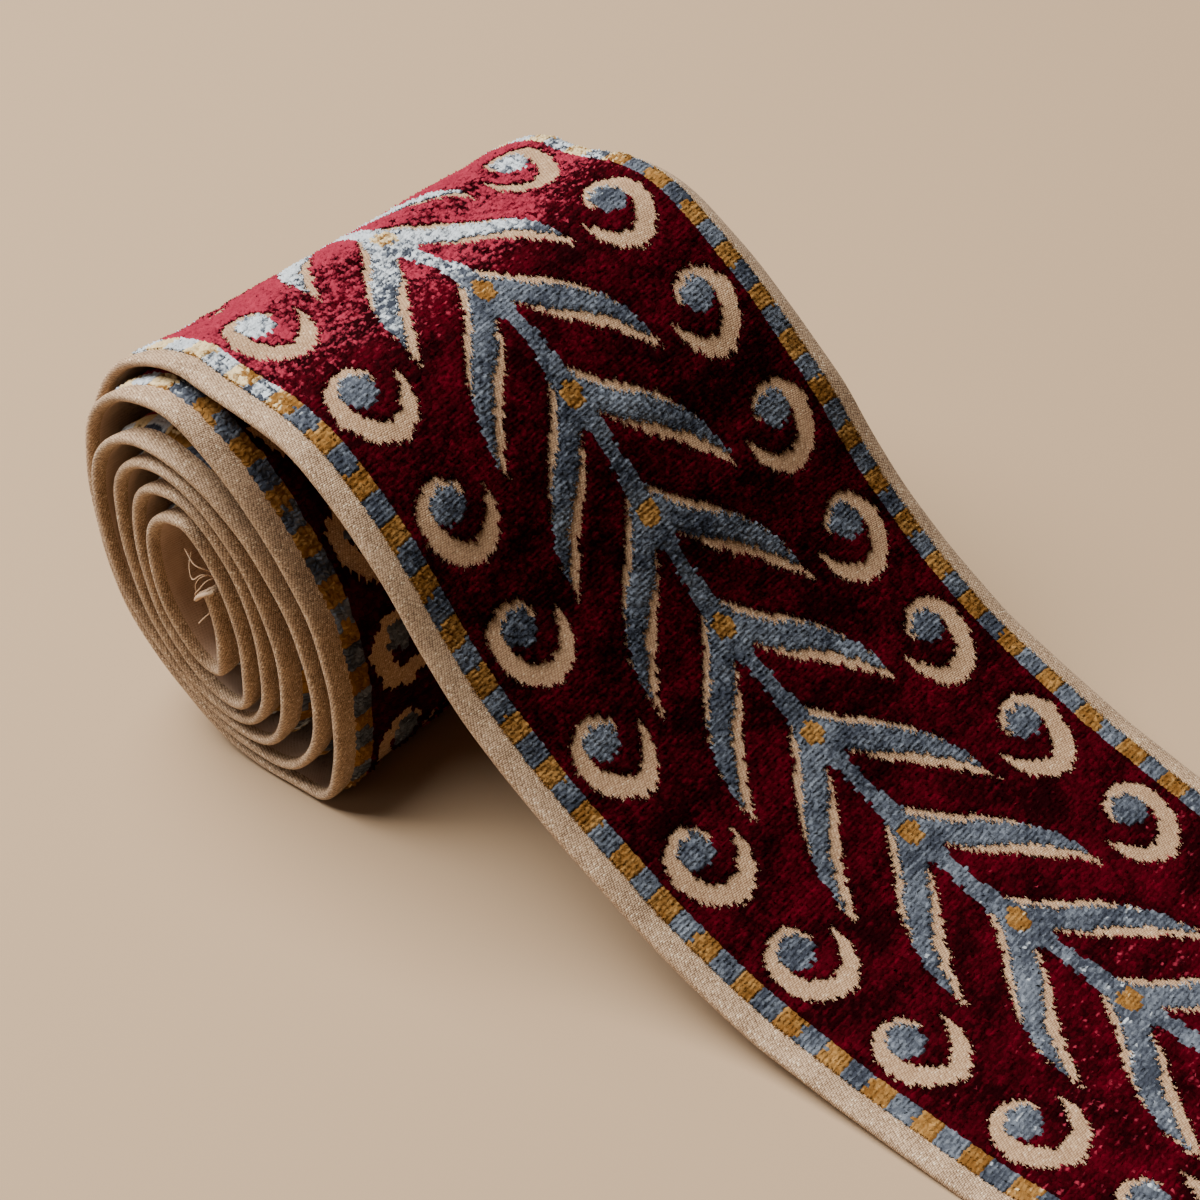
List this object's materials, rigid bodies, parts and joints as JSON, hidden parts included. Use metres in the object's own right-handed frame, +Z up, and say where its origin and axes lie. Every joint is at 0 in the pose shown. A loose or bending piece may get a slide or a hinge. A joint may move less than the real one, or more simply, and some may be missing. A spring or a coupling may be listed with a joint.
{
  "type": "velvet tape trim",
  "caption": "Patterned velvet tape trim, loosely wound with its free length falling off the top of the roll and running out flat, for edging cushions, curtains and garments.",
  "frame": {"origin": "centre of the footprint, on the surface that the roll and the free end rest on", "axes": "+X from the roll towards the cut free end, +Y along the roll's axis and across the tape's width, +Z up"},
  "size_m": [0.19, 0.0824, 0.0667],
  "materials": {
    "crimson_pile": "velvet pile"
  },
  "bodies": {
    "root": {"velvet_tape": "crimson_pile"}
  },
  "joints": []
}
